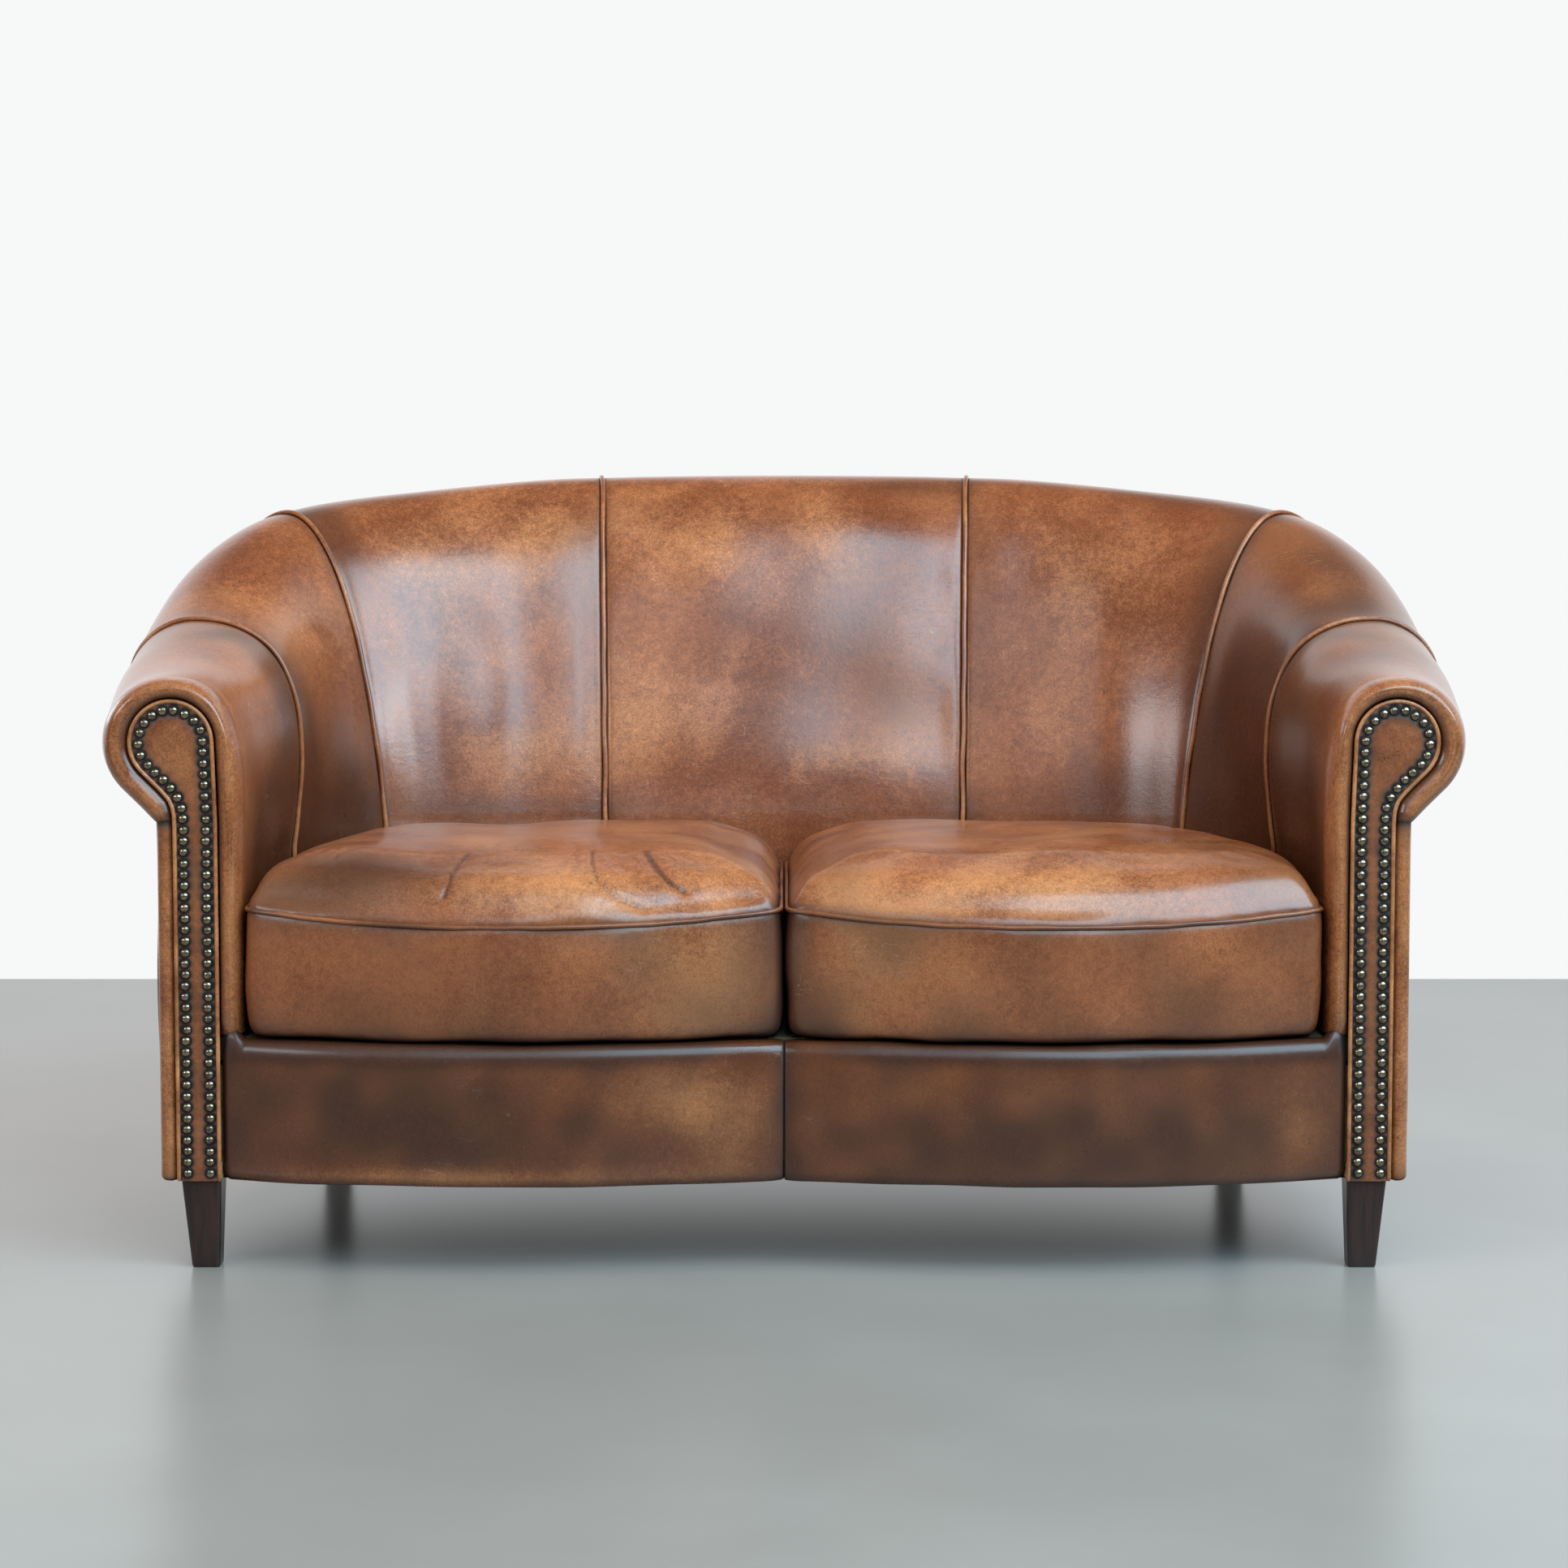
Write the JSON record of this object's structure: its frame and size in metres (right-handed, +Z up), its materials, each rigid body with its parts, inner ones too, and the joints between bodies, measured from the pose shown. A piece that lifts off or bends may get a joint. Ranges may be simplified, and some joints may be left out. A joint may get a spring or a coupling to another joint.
{
  "type": "worn leather sofa",
  "caption": "Low tub sofa in worn brown leather, with rolled arms and back, nail-trimmed arm facings, loose seat cushions and tapered wooden legs.",
  "frame": {"origin": "on the floor, under the middle of the sofa's bounding box", "axes": "+X towards the sofa's right as seen from the front, +Y from the front to the back, +Z up; the front faces -Y"},
  "size_m": [1.5454, 0.8266, 0.8862],
  "materials": {
    "tub_leather": "glossy hand-rubbed sheepskin, mottled tan to dark chestnut, dark burnishing at seams and edges",
    "cushion_leather": "the same leather, more worn, with creases, fine scratches and a grey sheen",
    "facing_leather": "lighter tan, grimed dark along the nail rows",
    "welt_leather": "rolled leather cord, slightly redder",
    "leg_wood": "very dark brown satin stain",
    "frame_wood": "raw hardwood",
    "foam": null,
    "spring_steel": "plain spring wire",
    "bolt_steel": "zinc-plated",
    "nail_metal": "domed upholstery nails in dark antique finish",
    "deck_cloth": "hessian over a felted pad",
    "dust_cloth": "black non-woven cloth"
  },
  "bodies": {
    "root": {"leg_front_left": "leg_wood", "leg_front_right": "leg_wood", "corner_block_front_left": "frame_wood", "corner_block_front_right": "frame_wood", "leg_bolt_front_left": "bolt_steel", "leg_bolt_front_right": "bolt_steel", "leg_back_left": "leg_wood", "leg_back_right": "leg_wood", "corner_block_back_left": "frame_wood", "corner_block_back_right": "frame_wood", "leg_bolt_back_left": "bolt_steel", "leg_bolt_back_right": "bolt_steel", "side_rail_left": "frame_wood", "side_rail_right": "frame_wood", "corner_rail_left": "frame_wood", "corner_rail_right": "frame_wood", "back_rail": "frame_wood", "front_rail": "frame_wood", "arm_front_board_left": "frame_wood", "arm_front_board_right": "frame_wood", "arm_top_rail_left": "frame_wood", "arm_top_rail_right": "frame_wood", "back_top_rail": "frame_wood", "back_post_left": "frame_wood", "back_post_right": "frame_wood", "seat_spring_1": "spring_steel", "seat_spring_2": "spring_steel", "seat_spring_3": "spring_steel", "seat_spring_4": "spring_steel", "seat_spring_5": "spring_steel", "seat_deck": "deck_cloth", "dust_cover": "dust_cloth", "arm_foam_left": "foam", "arm_foam_right": "foam", "back_foam": "foam", "arm_panel_left": "tub_leather", "arm_panel_right": "tub_leather", "corner_panel_left": "tub_leather", "corner_panel_right": "tub_leather", "back_panel_left": "tub_leather", "back_panel_right": "tub_leather", "back_panel_centre": "tub_leather", "arm_welt_left": "welt_leather", "arm_welt_right": "welt_leather", "corner_welt_left": "welt_leather", "corner_welt_right": "welt_leather", "back_welt_left": "welt_leather", "back_welt_right": "welt_leather", "outer_arm_left": "tub_leather", "outer_arm_right": "tub_leather", "outer_back": "tub_leather", "rail_foam": "foam", "rail_cover_left": "tub_leather", "rail_cover_right": "tub_leather", "arm_facing_left": "facing_leather", "arm_facing_right": "facing_leather", "cushion_cover_left": "cushion_leather", "cushion_cover_right": "cushion_leather", "cushion_foam_left": "foam", "cushion_foam_right": "foam"}
  },
  "joints": []
}
